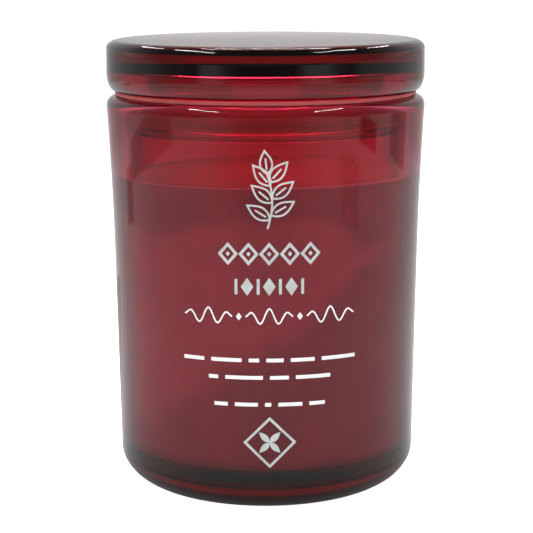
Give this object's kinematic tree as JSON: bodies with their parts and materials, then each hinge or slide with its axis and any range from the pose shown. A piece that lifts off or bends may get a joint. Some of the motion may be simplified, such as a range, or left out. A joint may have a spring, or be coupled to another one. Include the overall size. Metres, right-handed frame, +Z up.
{
  "type": "scented candle in a lidded glass jar",
  "caption": "Scented candle poured in a deep red glass jar with a thick rounded base, closed by a loose red glass lid that rests on a soft sealing ring.",
  "frame": {"origin": "centre of the circle that the jar stands on", "axes": "+Z up along the jar's axis, -Y towards the printed front"},
  "size_m": [0.0642, 0.0642, 0.0911],
  "materials": {
    "red_glass": "transparent deep red glass, smooth and glossy",
    "seal_silicone": "milky pink silicone, soft satin",
    "wax": "cream candle wax, smooth and slightly translucent",
    "wick_cotton": "braided cotton, waxed",
    "silver_print": "pale silver screen print on the glass"
  },
  "bodies": {
    "root": {"jar": "red_glass", "lid": "red_glass", "seal": "seal_silicone", "wax": "wax", "wick": "wick_cotton"}
  },
  "joints": []
}
